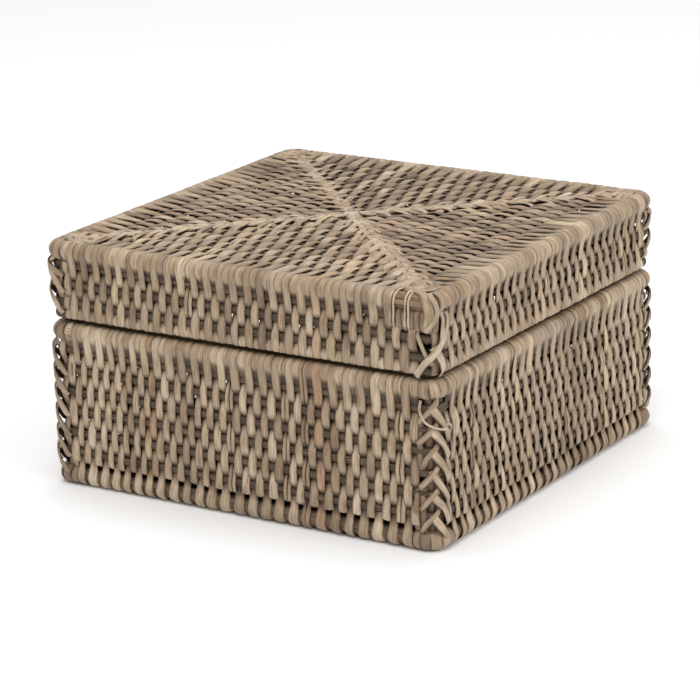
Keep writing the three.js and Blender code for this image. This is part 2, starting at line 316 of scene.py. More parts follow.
def core_ring(name, body):
    """An oval section carried along a rounded square. It strays a little, as bent core does.
    The tone is high on a thin rod's exposed faces and nothing on its flanks, which are painted darker as
    shade."""
    half, height, bend, wide, tall = rods[name]
    straight = 2 * (half - bend)
    corner = math.pi * bend / 2
    steps = np.concatenate([np.linspace(0, straight, side_steps, endpoint=False),
                            straight + np.linspace(0, corner, bend_steps, endpoint=False)])
    along = (steps[None, :] + (straight + corner) * np.arange(4)[:, None]).ravel() - straight / 2
    place, outward = square_path(half, bend, along)
    stray_out, stray_up = ring_stray(name, along / (straight + corner))
    angle = np.linspace(0, 2 * math.pi, rod_sides, endpoint=False)
    reach = wide * np.cos(angle)[None, :] + stray_out[:, None]
    rise = tall * np.sin(angle)[None, :] + stray_up[:, None]
    points = np.empty((len(along), rod_sides, 3))
    points[..., :2] = place[:, None, :] + outward[:, None, :] * reach[..., None]
    points[..., 2] = height + rise
    uv = tube_places(along, angle, max(wide, tall)) + core_draws.uniform(0, grain_length)
    # A thin rod's flanks get no tone, which paints them dark as shade; its outer face stays lighter
    face = np.maximum(np.cos(angle), 0) if wide < tall else np.abs(np.sin(angle))
    tone = np.broadcast_to(core_draws.uniform(*thin_tones) * face ** 1.5, reach.shape).ravel()
    if wide == tall:
        tone = np.full(reach.size, lid_edge_tone if name == "lid_edge_rod" else thick_tone)
    add_piece(name + "_core", points.reshape(-1, 3), tube_faces(len(along), rod_sides, closed=True),
              core, body, [name], [("tone", tone)], uv)


for name in rods:
    core_ring(name, "lid" if name.startswith("lid") else "box")


def centre_core(name, body):
    """The short straight rod in the middle of a panel. Near each end its radius follows a
    quarter circle, and the ends are closed."""
    low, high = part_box(name)
    radius = (high[2] - low[2]) / 2
    height = (low[2] + high[2]) / 2
    rounding = np.array([0.0, 0.25, 0.7, 1.0, 1.6]) * radius
    along = np.concatenate([low[0] + rounding, np.linspace(-0.5, 0.5, 5) * high[0],
                            high[0] - rounding[::-1]])
    from_end = np.clip(np.minimum(along - low[0], high[0] - along) / radius, 0.02, 1)
    size = radius * np.sqrt(1 - (1 - from_end) ** 2)
    angle = np.linspace(0, 2 * math.pi, rod_sides, endpoint=False)
    points = np.stack([
        np.broadcast_to(along[:, None], (len(along), rod_sides)),
        size[:, None] * np.cos(angle)[None, :],
        height + size[:, None] * np.sin(angle)[None, :],
    ], axis=-1)
    step = np.arange(rod_sides // 2 - 1)
    cap = np.stack([step, step + 1, rod_sides - 2 - step, rod_sides - 1 - step], axis=-1)
    quads = np.concatenate([tube_faces(len(along), rod_sides)[:, [0, 3, 2, 1]], cap[:, ::-1],
                            cap + (len(along) - 1) * rod_sides])
    add_piece(name + "_core", points.reshape(-1, 3), quads, core, body, [name],
              [("tone", np.full(points.shape[0] * rod_sides, centre_tone))],
              tube_places(along, angle, radius))


centre_core("base_centre_rod", "box")
centre_core("lid_top_centre_rod", "lid")


# Woven strips
# Split rattan strips run over and under the rods by turns, and neighbours take
# opposite turns. Each starts inside the rim, wraps it, crosses the wall, turns
# the far edge and runs in across the panel to the diagonal.
strip_thickness = 0.65 * MM
strip_pitch = 3.33 * MM
strip_width = 3.92 * MM
seat = 0.1 * MM
corner_bare = 10.6 * MM
half_side = cad_box[1][0]


def smooth_noise(spots, draws, amount):
    """A smooth random curve, with one random knot for each whole number up to the last spot."""
    return eased(draws.uniform(-amount, amount, int(math.ceil(spots.max())) + 2), spots)


def length_along(points):
    """The length of a line of points up to each of them."""
    return np.concatenate([[0], np.cumsum(np.linalg.norm(np.diff(points, axis=0), axis=1))])


steepest_lean = 0.96
wide_turn = 2.0
steps_per_radian = 3.6
fewest_steps, most_steps = 3, 12


def belt(centres, sides, radii, marks):
    """The line of a strip past a row of rods: it follows each rod as an arc, on the side
    given, and runs straight from one rod to the next along their common tangent. Gives
    points, left-hand normals, and the rods' marks carried on between them by length."""
    tangents = []
    for here, there, a, b in zip(centres[:-1], centres[1:], sides * radii, (sides * radii)[1:]):
        gap = there - here
        length = np.hypot(*gap)
        ahead = gap / length
        left = np.array([-ahead[1], ahead[0]])
        lean = np.clip((a - b) / length, -steepest_lean, steepest_lean)
        tangents.append(math.sqrt(1 - lean * lean) * left + lean * ahead)
    points, normals, middles = [], [], []
    total = 0
    for index in range(len(centres)):
        first = tangents[max(index - 1, 0)]
        last = tangents[min(index, len(tangents) - 1)]
        start = math.atan2(first[1], first[0])
        sweep = math.atan2(last[1], last[0]) - start
        sweep = (sweep + math.pi) % (2 * math.pi) - math.pi
        # A wide turn goes round the rod's own side, never the short way through it
        if abs(sweep) > wide_turn and np.sign(sweep) != -sides[index]:
            sweep -= 2 * math.pi * np.sign(sweep)
        share = np.array([0.5])
        if radii[index] > 0:
            steps = np.clip(abs(sweep) * steps_per_radian, fewest_steps, most_steps)
            share = np.linspace(0, 1, int(steps))
        angle = start + sweep * share
        normal = np.stack([np.cos(angle), np.sin(angle)], axis=-1)
        points.append(centres[index] + sides[index] * radii[index] * normal)
        normals.append(normal)
        middles.append(total + (len(share) - 1) / 2)
        total += len(share)
    points, normals = np.concatenate(points), np.concatenate(normals)
    length = length_along(points)
    return points, normals, np.interp(length, np.interp(middles, np.arange(total), length), marks)


strip_step = 1.15 * MM


def even_steps(points, marks):
    """The same line with points at even steps, and the marks carried over to them."""
    length = length_along(points)
    spots = np.linspace(0, length[-1], int(length[-1] / strip_step) + 2)
    line = np.stack([np.interp(spots, length, points[:, axis]) for axis in (0, 1)], axis=-1)
    return line, np.interp(spots, length, marks)


# Levels between which a strip dives, how near a thin rod it is pressed beside a
# thick one, and how strongly it is pressed
dive_low, dive_high = -0.92, -0.20
press_full, press_end = 0.46, 0.66
press_downwards, press_upwards, press_panel = 0.80, 0.35, 0.55


def pressed(line, mark, centres, over, radii, wall_end, facing):
    """The line pressed into longer floats: between two thin rods the strip keeps more to
    the outside until it is close to the rod that it passes under, and dives there along an
    S-shaped ramp. In a wall this goes mainly for the rod below it, and beside a thick rod
    only near the thin one. The level is 1 on top of the rods and -1 under them."""
    index = np.arange(len(over))
    reach = np.maximum(np.interp(mark, index, radii), seat)
    in_wall = mark < wall_end
    plane = np.where(in_wall, np.interp(mark, index, centres[:, 0]), np.interp(mark, index, centres[:, 1]))
    outward = np.where(in_wall, -1.0, facing)
    depth = np.where(in_wall, line[:, 0], line[:, 1])
    level = (depth - plane) * outward / reach
    ramp = np.clip((level - dive_low) / (dive_high - dive_low), 0, 1)
    target = 2 * ramp * ramp * (3 - 2 * ramp) - 1
    first = np.clip(np.floor(mark).astype(int), 0, len(over) - 2)
    thin = np.minimum(radii[first], radii[first + 1]) < thin_below
    both = np.maximum(radii[first], radii[first + 1]) < thin_below
    near = np.abs(mark - np.where(radii[first] < thin_below, first, first + 1))
    fade = np.clip((press_end - near) / (press_end - press_full), 0, 1)
    share = np.where(both, 1.0, fade) * thin * (mark > 1)
    share = share * (np.clip(mark, 1, len(over) - 2) == mark)
    below = over[first] if facing > 0 else over[first + 1]
    share = share * np.where(in_wall, np.where(below < 0, press_downwards, press_upwards), press_panel)
    moved = plane + outward * reach * (level + share * (target - level))
    return np.stack([np.where(in_wall, moved, line[:, 0]), np.where(in_wall, line[:, 1], moved)], axis=-1)


# The strip's section: a flat back, a crowned face and thin edges, darkened as painted shade
section_across = np.array([-0.88, 0.88, 1.0, 0.74, 0.28, -0.28, -0.74, -1.0]) / 2
section_up = np.array([-0.42, -0.42, -0.14, 0.40, 0.66, 0.66, 0.40, -0.14])
# How far painted shade lowers the tone at each point of the section, most at the edges
section_edge_shade = np.array([0.5, 0.5, 0.62, 0.10, 0.0, 0.0, 0.10, 0.62])
section_caps = np.array([[0, 1, 2, 7], [7, 2, 3, 6], [6, 3, 4, 5]])


def ribbon(points, ahead, outward, width, thickness):
    """A strip's section carried along a line of points, with both ends closed. Gives its
    points, its faces and each point's place along and across the strip."""
    across = np.cross(ahead, outward)
    count, sides = len(points), len(section_up)
    body = (points[:, None, :]
            + across[:, None, :] * (section_across[None, :] * width[:, None])[..., None]
            + outward[:, None, :] * (section_up[None, :] * thickness)[..., None])
    faces = np.concatenate([tube_faces(count, sides), section_caps,
                            section_caps[:, ::-1] + (count - 1) * sides])
    place = np.stack([
        np.broadcast_to(length_along(points)[:, None], (count, sides)),
        section_across[None, :] * width[:, None],
    ], axis=-1)
    return body.reshape(-1, 3), faces, place.reshape(-1, 2)


def directions(points):
    """Unit directions along a line of points."""
    ahead = np.gradient(points, axis=0)
    return ahead / np.linalg.norm(ahead, axis=1, keepdims=True)


def squared(outward, ahead):
    """Outward directions made square to the line's own direction."""
    outward = outward - ahead * np.sum(outward * ahead, axis=1, keepdims=True)
    return outward / np.linalg.norm(outward, axis=1, keepdims=True)


stain_scale = 34.0


def strip_material():
    """Split strip: greyed tan with pinkish, olive and brown strips, fine fibres, dull satin.
    Its tone ramp runs down to near black, where painted shade from crevices and edges lowers the tone.
    """
    material, tree, shader = new_material("rattan_strip", 0.5)
    grain = tree.nodes.new("ShaderNodeGroup")
    grain.node_tree = fibre
    colour = ramped(tree, kept_value(tree, "tone"), [
        (0.0, (0.045, 0.026, 0.013)),
        (0.30, (0.230, 0.158, 0.094)),
        (0.65, (0.430, 0.330, 0.222)),
        (1.0, (0.640, 0.525, 0.390)),
    ])
    warm = ramped(tree, kept_value(tree, "tint"), [
        (0.0, (0.97, 0.98, 0.86)),
        (0.25, (1.0, 1.0, 0.97)),
        (0.45, (0.98, 0.99, 1.03)),
        (0.70, (1.0, 0.99, 0.98)),
        (1.0, (1.03, 0.91, 0.85)),
    ])
    colour = multiplied(tree, colour, warm, 1.0)
    streak = ramped(tree, grain.outputs["Streak"], [
        (0.30, (0.30, 0.24, 0.19)), (0.47, (0.92, 0.91, 0.89)), (0.70, (1.30, 1.30, 1.30))])
    colour = multiplied(tree, colour, streak, 0.95)
    fleck = ramped(tree, grain.outputs["Fleck"], [(0.34, (0.70, 0.61, 0.54)), (0.5, (1.0, 1.0, 1.0))])
    colour = multiplied(tree, colour, fleck, 0.75)
    where = tree.nodes.new("ShaderNodeTexCoord")
    stain = ramped(tree, noise_value(tree, where.outputs["Object"], stain_scale, 3.0), [
        (0.34, (0.72, 0.60, 0.50)), (0.46, (0.98, 0.96, 0.94)), (0.62, (1.05, 1.05, 1.05))])
    colour = multiplied(tree, colour, stain, 0.4)
    tree.links.new(colour, shader.inputs["Base Color"])
    add_relief(tree, shader, grain.outputs["Streak"], 0.8, 0.16 * MM)
    return material


strip = strip_material()


def turned(points, quarter):
    """Points turned about the upright axis by so many quarter turns."""
    cos, sin = round(math.cos(quarter * math.pi / 2)), round(math.sin(quarter * math.pi / 2))
    x, y, z = points[:, 0], points[:, 1], points[:, 2]
    return np.stack([x * cos - y * sin, x * sin + y * cos, z], axis=-1)


grain_shift = 0.37


def add_strands(name, strands, quarter, body, nodes):
    """Joins ribbons, each with its tone along the line and its tint, into one piece. Each
    reads another stretch of the grain."""
    parts = []
    offset = 0
    for number, (points, outward, width, tone, tint) in enumerate(strands):
        ahead = directions(points)
        mesh, quads, uv = ribbon(points, ahead, squared(outward, ahead), width, strip_thickness)
        # The tone is lowered towards each edge of the section as painted shade
        edge_shaded_tones = np.clip(tone[:, None] - section_edge_shade[None, :], 0, 1).ravel()
        parts.append((mesh, quads + offset, uv + number * grain_shift % grain_length, edge_shaded_tones,
                      np.full(len(mesh), tint)))
        offset += len(mesh)
    points, quads, uv, tones, tints = (np.concatenate(column) for column in zip(*parts))
    add_piece(name, turned(points, quarter), quads, strip, body, nodes,
              [("tone", tones), ("tint", tints)], uv)


# Parts of the way between two rods where a strip is painted dark as shade in the crevice, and changes of
# width
into_from, into_span = 0.47, 0.20
out_from, out_span = 0.50, 0.28
out_dark = 0.75
broad_spread, rim_spread = 0.04, 0.12
top_spread, under_spread = 0.22, 0.26


def crevice_shade_and_width(mark, over, flip, wall_end):
    """How far a strip has gone into a crevice, from 0 on top of a rod to 1 under one, used as
    painted shade, and the factor on its width there. In a wall the painted shade stays off
    until near the rod below, and the strip broadens there, at the rim, and where it turns the
    far edge. The share is the part of the way from one rod to the next, counted downwards."""
    first = np.clip(np.floor(mark).astype(int), 0, len(over) - 2)
    share = mark - first
    upper, lower = over[first], over[first + 1]
    if flip:
        upper, lower, share = lower, upper, 1 - share
    into = np.clip((share - into_from) / into_span, 0, 1) * (lower < 0)
    out = np.clip((out_from - share) / out_span, 0, 1) * (upper < 0)
    broad = np.exp(-((share - 0.55) / 0.25) ** 2) * (lower < 0)
    in_wall = mark < wall_end
    level = np.interp(mark, np.arange(len(over)), (1 - over) / 2)
    # The dark share is painted shade: in a wall where the strip dives, in a panel under the rods
    dark = np.where(in_wall, into + out_dark * out, level ** 1.6)
    foot = np.clip(1.5 - np.abs(mark - wall_end), 0, 1) * (over[np.rint(mark).astype(int)] > 0)
    rim = np.exp(-((mark - 1.6) / 0.6) ** 2)
    wall_spread = broad_spread * broad + rim_spread * rim + (0.14 if flip else 0.34) * foot
    spread = np.where(in_wall, wall_spread, top_spread - under_spread * level)
    return np.clip(dark, 0, 1), 1 + spread


diagonal_gap = 0.5 * MM
end_tail = 0.7
short_tail = 4.5 * MM
bare_rods = 3
split_share = 0.06
split_parts = [(-0.25, 0.47), (0.25, 0.46)]
most_twist = math.radians(9)
short_sway, long_sway, own_sway = 0.20 * MM, 0.25 * MM, 0.10 * MM
strip_tone, strip_tint = 0.60, 0.46
# How much the crevices' painted shade lowers a strip's tone
crevice_dark = 0.66


def woven_side(name, quarter, body, row, panel_from, plain, flip, nodes, seed, crowd, bare_from, panel_light):
    """All the strips of one side. Each is a belt in the upright plane across the rods of the
    wall and of the panel, with a little sway, twist and change of width. They crowd towards
    one end, and one in sixteen has split along its length into two. Those beyond bare_from
    stop after a few rods."""
    draws = np.random.default_rng(seed)
    run = half_side - corner_bare
    count = int(2 * run / strip_pitch)
    steps = 1 + crowd * np.linspace(-1, 1, count) + smooth_noise(np.arange(count) / 4.0, draws, 0.07)
    edges = np.concatenate([[0], np.cumsum(steps)])
    edges = edges / edges[-1] * 2 * run - run
    places = (edges[1:] + edges[:-1]) / 2
    widths = np.diff(edges) / strip_pitch * strip_width
    patch = smooth_noise(np.arange(count) / 5.0, draws, 1.0)
    out_sign = 1.0 if flip else -1.0
    wall_end = panel_from + 0.5
    strands = []
    for number, place in enumerate(places):
        kept = [rod for index, rod in enumerate(row)
                if index < panel_from or -rod[1] - diagonal_gap > abs(place)]
        if place > bare_from:
            kept = row[:bare_rods]
        radii = np.array([rod[3] for rod in kept]) + seat + strip_thickness / 2
        stray = [ring_stray(rod[0], quarter + place / (2 * half_side)) for rod in kept]
        centres = np.array([(rod[1] - out, rod[2] + up) for rod, (out, up) in zip(kept, stray)])
        over = np.array([1.0 if index in plain or (number + index) % 2 == 0 else -1.0
                         for index in range(len(kept))])
        # A strip starts inside the rim and ends a little past the last rod
        start = (centres[0] + (centres[1] - centres[0]) * draws.uniform(0.75, 0.95)
                 + np.array([radii[0] * 0.85, 0]))
        end = centres[-1] + (centres[-1] - centres[-2]) * end_tail
        if len(kept) == panel_from:
            end = np.array([centres[-1][0] + short_tail, row[-1][2]])
        centres = np.concatenate([[start], centres, [end]])
        over = np.concatenate([[1.0], over, over[-1:]])
        radii = np.concatenate([[0.0], radii, [0.0]])
        line, left, marks = belt(centres, out_sign * over, radii, np.arange(len(over)))
        line, mark = even_steps(line, marks)
        line = pressed(line, mark, centres, over, radii, wall_end, out_sign)
        ahead = directions(line)
        left = np.stack([-ahead[:, 1], ahead[:, 0]], axis=-1) * out_sign
        dark, spread = crevice_shade_and_width(mark, over, flip, wall_end)
        splits = split_parts if draws.uniform() < split_share else [(0.0, 1.0)]
        sway = smooth_noise(mark, draws, short_sway) + smooth_noise(mark / 4.0, draws, long_sway)
        tone = strip_tone + 0.07 * patch[number] + draws.normal(0, 0.09)
        tint = np.clip(strip_tint + draws.normal(0, 0.19), 0, 1)
        size = widths[number] * draws.uniform(0.96, 1.06)
        for side, share in splits:
            aside = place + sway + side * size + smooth_noise(mark / 1.5, draws, own_sway)
            points = np.column_stack([aside, line])
            outward = np.column_stack([np.zeros(len(line)), left])
            twist = smooth_noise(mark / 1.3, draws, most_twist)[:, None]
            outward = outward * np.cos(twist) + np.cross(directions(points), outward) * np.sin(twist)
            width = size * share * spread * (1 + smooth_noise(mark / 1.5, draws, 0.055))
            # The tone is lowered by the painted shade of the crevices
            tones = tone + smooth_noise(mark / 1.5, draws, 0.13) - crevice_dark * dark
            # The panel's tone is shifted by this amount as painted light
            tones = tones + panel_light * (mark > wall_end)
            strands.append((points, outward, width, tones, tint))
    add_strands(name, strands, quarter, body, nodes)


def upright_row(prefix, panel, downward):
    """The rods a strip meets, as (name, across, up, radius): the wall's from the rim on, then
    the panel's from its outer ring inwards. Also how many are the wall's."""
    wall = [(name, *rod) for name, rod in rods.items() if name.startswith(prefix) and "top" not in name]
    flat = [(name, *rod) for name, rod in rods.items() if name.startswith(panel)]
    wall.sort(key=lambda rod: -rod[2] if downward else rod[2])
    flat.sort(key=lambda rod: -rod[1])
    return [(rod[0], -rod[1], rod[2], min(rod[4:])) for rod in wall + flat], len(wall)


side_names = ["front", "right", "back", "left"]
side_crowd = [0.09, 0.04, -0.06, 0.05]
box_row, box_panel_from = upright_row("box", "base", True)
lid_row, lid_panel_from = upright_row("lid", "lid_top", False)
for quarter, side in enumerate(side_names):
    front = side == "front"
    woven_side(f"box_{side}_weave", quarter, "box", box_row, box_panel_from, {0}, False,
               [f"box_{side}_strips", f"base_{side}_strips"], 100 + quarter, side_crowd[quarter],
               half_side, 0.0)
    # The front quarter of the lid's top is painted lighter and the other quarters darker, as light falling
    # on them
    woven_side(f"lid_{side}_weave", quarter, "lid", lid_row, lid_panel_from,
               {0, lid_panel_from - 1}, True,
               [f"lid_{side}_strips", f"lid_top_{side}_strips"], 200 + quarter, side_crowd[quarter],
               78 * MM if front else half_side, 0.09 if front else -0.05)


# Corner lashings
# At each corner a wider strip is laced round the rods in crossed legs, one pair to
# a gap, with the right legs on top. The ends tuck in between the rods. Loops wrap
# the corner of the rim and of the lid's edge, where the weave leaves the core bare.
corner_half = 98.02 * MM
corner_bend = 4.2 * MM
corner_run = corner_half - corner_bend + corner_bend * math.pi / 4
brow_height = 107.2 * MM
brow_turn = 3.6 * MM
knot_steps = 5


def smooth_line(knots, count):
    """A curve through knots: between two of them it is a cubic whose slopes at the knots
    come from the knots on either side, known as a Catmull-Rom curve."""
    knots = np.asarray(knots, dtype=float)
    padded = np.concatenate([2 * knots[:1] - knots[1:2], knots, 2 * knots[-1:] - knots[-2:-1]])
    spot = np.linspace(0, len(knots) - 1, count)
    low = np.minimum(spot.astype(int), len(knots) - 2)
    share = (spot - low)[:, None]
    a, b, c, d = padded[low], padded[low + 1], padded[low + 2], padded[low + 3]
    bent = (2 * a - 5 * b + 4 * c - d) * share ** 2 + (3 * b - a - 3 * c + d) * share ** 3
    return (2 * b + (c - a) * share + bent) / 2


lashing_twist = math.radians(7)


def worn_strand(points, outward, width, tone, tint, draws):
    """A ribbon with a little noise in its width, its twist and its tone."""
    spots = np.linspace(0, len(points) / knot_steps, len(points))
    widths = width * MM * (1 + smooth_noise(spots, draws, 0.08))
    ahead = directions(points)
    outward = squared(outward, ahead)
    twist = smooth_noise(spots, draws, lashing_twist)[:, None]
    outward = outward * np.cos(twist) + np.cross(ahead, outward) * np.sin(twist)
    return points, outward, widths, tone + smooth_noise(spots, draws, 0.12), tint


def corner_strand(knots, width, tone, tint, draws):
    """A strip laid round a corner through knots, each a distance round the corner, a height
    and a distance out, in millimetres. Above the brow it turns over onto the top."""
    line = smooth_line(knots, knot_steps * len(knots)) * MM
    place, outward = square_path(corner_half, corner_bend, corner_run + line[:, 0])
    points = np.concatenate([place + outward * line[:, 2:3], line[:, 1:2]], axis=1)
    tilt = np.clip((line[:, 1] - brow_height) / brow_turn, 0, 1) * math.pi / 2
    normal = np.concatenate([outward * np.cos(tilt)[:, None], np.sin(tilt)[:, None]], axis=1)
    return worn_strand(points, normal, width, tone, tint, draws)


loop_steps = 16


def rod_loop(rod, spot, lean, first, last, width, tone, tint, draws):
    """A strip wound round a rod near its corner: an arc in the rod's own section, carried
    along the rod by the lean as it goes. The angles count from outwards towards up."""
    half, height, bend, wide, tall = rods[rod]
    angle = np.radians(np.linspace(first, last, loop_steps))
    middle = half - bend + bend * math.pi / 4
    along = middle + (spot + lean * np.linspace(-0.5, 0.5, loop_steps)) * MM
    place, outward = square_path(half, bend, along)
    reach = wide + 0.6 * seat + strip_thickness / 2
    normal = np.concatenate([outward * np.cos(angle)[:, None], np.sin(angle)[:, None]], axis=1)
    points = np.concatenate([place, np.full((loop_steps, 1), height)], axis=1) + normal * reach
    return worn_strand(points, normal, width, tone, tint, draws)


left_width, right_width = 3.2, 3.9
leg_tone = 0.66


def leg_pair(top, foot, size, draws):
    """One crossed pair of legs: the left one below, the right one above it. A size under 1
    makes them shorter, narrower and browner."""
    shake = draws.normal(0, 0.45, 6)
    left = [(2.6, top + 5.9, -0.9), (0.2, top + 3.6, 0.3), (-3.4, top - 0.6 + shake[0], 0.8),
            (-6.7 + shake[1], top - 4.6, 0.7), (-7.9 + shake[1], top - 6.2, -0.5)]
    right = [(-1.6, top + 3.0, -0.9), (-0.2, top + 0.6, 0.9), (3.4, top - 5.2 + shake[2], 1.15),
             (7.4 + shake[3], top - 11.0, 1.05), (8.9 + shake[3], top - 13.2, 0.2)]
    left, right = np.array(left), np.array(right)
    for leg in (left, right):
        leg[:, 0] *= size
        leg[:, 1] = top + (leg[:, 1] - top) * size
    left[:, 1] = np.maximum(left[:, 1], foot)
    right[:, 1] = np.maximum(right[:, 1], foot - 0.6)
    tones = leg_tone + draws.normal(0, 0.10, 2) - 0.5 * (1 - size)
    tints = np.clip(0.5 + draws.normal(0, 0.2, 2), 0, 1)
    return (corner_strand(left, left_width * size * draws.uniform(0.85, 1.1),
                          tones[0] - 0.06, tints[0], draws),
            corner_strand(right, right_width * size * draws.uniform(0.85, 1.08),
                          tones[1] + 0.06, tints[1], draws))


def corner_uprights(prefix):
    """Strips woven upright close to a corner: over and under the rods by turns."""
    heights = sorted(rod[1] / MM for name, rod in rods.items() if name.startswith(prefix))
    strands = []
    for spot, first in ((-8.4, 0), (8.4, 1), (-5.2, 1), (5.2, 0)):
        middle = [(spot + 0.25 * (-1) ** number, height, 0.15 if (number + first) % 2 else -2.7)
                  for number, height in enumerate(heights[1:-1])]
        knots = [(spot, heights[0] + 1.5, -2.4)] + middle + [(spot, heights[-1] - 1.5, -2.4)]
        strands.append((knots, 3.3, 0.56, 0.45))
    return strands


loop_arc, foot_arc = (-75, 200), (85, -150)
near_corner = 4
loop_widths, foot_widths = (3.7, 5.3), (3.8, 5.6)


def corner_lashing(name, quarter, body, tops, foot, rod, seed, loops, feet, size, more):
    """All the legs and loops of one corner. The loops near the corner itself are wider."""
    draws = np.random.default_rng(seed)
    strands = []
    for top in tops:
        strands.extend(leg_pair(top, foot, size, draws))
    for spot in loops:
        strands.append(rod_loop(rod, spot, draws.uniform(-1.2, 0.3), *loop_arc,
                                loop_widths[abs(spot) < near_corner],
                                0.5 + draws.normal(0, 0.12), 0.5 + draws.normal(0, 0.15), draws))
    for spot in feet:
        strands.append(rod_loop("box_bottom_rod", spot, draws.uniform(-0.8, 0.8), *foot_arc,
                                foot_widths[abs(spot) < near_corner],
                                0.42 + draws.normal(0, 0.12), 0.6, draws))
    for knots, width, tone, tint in more:
        strands.append(corner_strand(knots, width, tone, tint, draws))
    add_strands(name, strands, quarter, body, [name.removesuffix("_legs")])


corner_names = ["front_right", "back_right", "back_left", "front_left"]
leg_pitch = 9.5
box_tops = 61.5 - leg_pitch * np.arange(6)
box_foot = 3.4
rim_loops = [-5.8, -2.5, 0.0, 2.5, 5.8]
foot_loops = [-6.2, -2.6, 0.0, 2.6, 6.2]

# Single strands, each as (knots, width, tone, tint). The front right corner has a
# loose strand with a hook, a pale strip beside the lashing and brown ones behind it,
# whose low tone is painted shade.
front_strands = [
    ([(-5.5, 66.5, 1.1), (-6.0, 62.0, 1.3), (-3.4, 57.4, 1.35), (1.5, 54.4, 1.35), (5.6, 53.2, 1.3),
      (7.2, 52.6, 0.9)], 1.3, 0.85, 0.5),
    ([(5.0, 55.2, 1.2), (7.6, 54.8, 1.3), (9.4, 53.4, 1.3), (9.2, 51.2, 0.6)], 1.0, 0.8, 0.5),
    ([(12.9, 60, -1.2), (12.6, 55, 0.4), (12.8, 47, 0.5), (12.4, 41, 0.3), (12.7, 38, -1.4)],
     2.6, 0.66, 0.5),
    # Strips behind the lashing, given a low tone as painted shade
    ([(-9.2, 27, -1.6), (-9.0, 22, -0.2), (-9.3, 15, -0.1), (-9.0, 9, -0.8)], 3.2, 0.34, 0.85),
    ([(-6.0, 28, -1.8), (-6.2, 22, -0.7), (-6.0, 15, -0.7), (-6.1, 8, -1.0)], 3.2, 0.30, 0.9),
    ([(-7.4, 60, -1.8), (-7.2, 54, -0.9), (-7.4, 44, -0.9), (-7.1, 33, -1.6)], 3.2, 0.42, 0.7),
    ([(-4.4, 67, -3.0), (-4.5, 45, -3.1), (-4.3, 25, -3.0), (-4.4, 8, -2.9)], 4.2, 0.32, 0.8),
    ([(4.4, 67, -3.0), (4.5, 45, -3.1), (4.3, 25, -3.0), (4.4, 8, -2.9)], 4.2, 0.32, 0.8),
    ([(8.6, 66, -2.4), (8.7, 45, -2.5), (8.5, 25, -2.4), (8.6, 8, -2.4)], 3.4, 0.36, 0.6),
]
edge_strands = [([(0.6, top + 5.6, -0.6), (-0.6, top + 3.2, 0.9), (-0.9, top - 0.6, 1.0),
                  (0.2, top - 3.4, -0.4)], 1.5, 0.30, 0.6) for top in box_tops]
outer_loop = ([(0.5, 20.0, 0.2), (-0.5, 18.0, 1.2), (-0.6, 13.0, 1.25), (0.4, 10.5, 0.3)], 1.4, 0.7, 0.5)
side_strands = edge_strands + corner_uprights("box")
for quarter, corner_name in enumerate(corner_names):
    more = front_strands if quarter == 0 else side_strands
    if corner_name == "front_left":
        more = [outer_loop] + more
    corner_lashing(f"box_{corner_name}_lashing_legs", quarter, "box", box_tops, box_foot,
                   "box_rim_rod", 300 + quarter, rim_loops, foot_loops, 0.78 if quarter else 0.9, more)

# The lid's front right corner is laced more loosely: the edge core shows between
# pairs of thin strands, brown strips close the row below it, and a broad fold of
# strip comes over the corner from the top.
brown_sheet = [([(spot, 104.3, -2.0), (spot, 102.6, -0.4), (spot + 0.1, 99.6, 0.0), (spot, 96.2, -0.5),
                 (spot, 94.6, -2.4)], 3.1, 0.34 + 0.03 * (number % 3), 0.5)
               for number, spot in enumerate(np.arange(-19.0, 2.0, 2.9))]
brown_back = ([(1.6, 97.0, -1.8), (1.8, 91.0, -0.9), (1.5, 82.0, -0.9), (1.4, 77.0, -1.6)], 4.6, 0.40, 0.6)
edge_pairs = [([(spot, 111.0, -6.0), (spot, 111.1, -2.6), (spot - 0.1, 109.6, 0.3),
                (spot - 0.3, 106.6, 1.1), (spot - 0.5, 102.5, 0.8), (spot - 0.9, 98.5, 0.5),
                (spot - 1.1, 95.6, -0.8)], 1.1, 0.80, 0.45) for spot in (-18.9, -17.3, -11.8, -10.2)]
side_slants = [([(spot, 104.0, -0.6), (spot + 0.4, 101.0, 0.8), (spot - 0.2, 96.0, 0.9),
                 (spot - 1.2, 91.0, 0.8), (spot - 1.4, 88.5, -0.6)], 3.0, tone, 0.45)
               for spot, tone in ((4.4, 0.72), (8.0, 0.64))]
short_slant = ([(-8.0, 95.0, -1.0), (-6.3, 92.4, 0.4), (-3.2, 86.4, 0.7), (-0.5, 82.0, 0.2)],
               2.2, 0.62, 0.4)
corner_fold = ([(-14.0, 111.1, -5.8), (-9.0, 111.2, -4.2), (-4.6, 110.7, -1.8), (-2.2, 107.6, 0.8),
                (-1.5, 103.0, 0.9), (-2.3, 97.5, 0.2)], 4.4, 0.60, 0.05)
corner_turn = ([(-1.0, 111.0, -4.0), (-0.4, 110.3, -0.9), (1.0, 107.0, 0.9), (1.2, 102.5, 0.9),
                (-0.6, 99.3, 1.0), (-3.0, 96.2, 0.7)], 2.6, 0.74, 0.45)
pale_stub = ([(0.2, 89.5, 0.2), (2.2, 85.2, 1.1), (4.4, 79.5, 1.0), (5.2, 76.6, -0.8)], 4.0, 0.86, 0.4)
long_slant = ([(8.0, 97.0, -0.4), (5.5, 94.0, 1.2), (-1.0, 85.5, 1.5), (-7.0, 77.6, 0.9),
               (-7.8, 76.6, -0.5)], 3.3, 0.82, 0.5)
front_lid = (brown_sheet + [brown_back] + edge_pairs + side_slants
             + [short_slant, corner_fold, corner_turn, pale_stub, long_slant])
cross_strand = ([(-3.0, 103.4, -0.2), (-0.5, 101.5, 1.2), (4.0, 98.8, 1.2), (7.0, 96.0, 0.2)],
                3.0, 0.55, 0.5)
side_lid = [cross_strand] + corner_uprights(("lid_edge", "lid_wall", "lid_rim"))
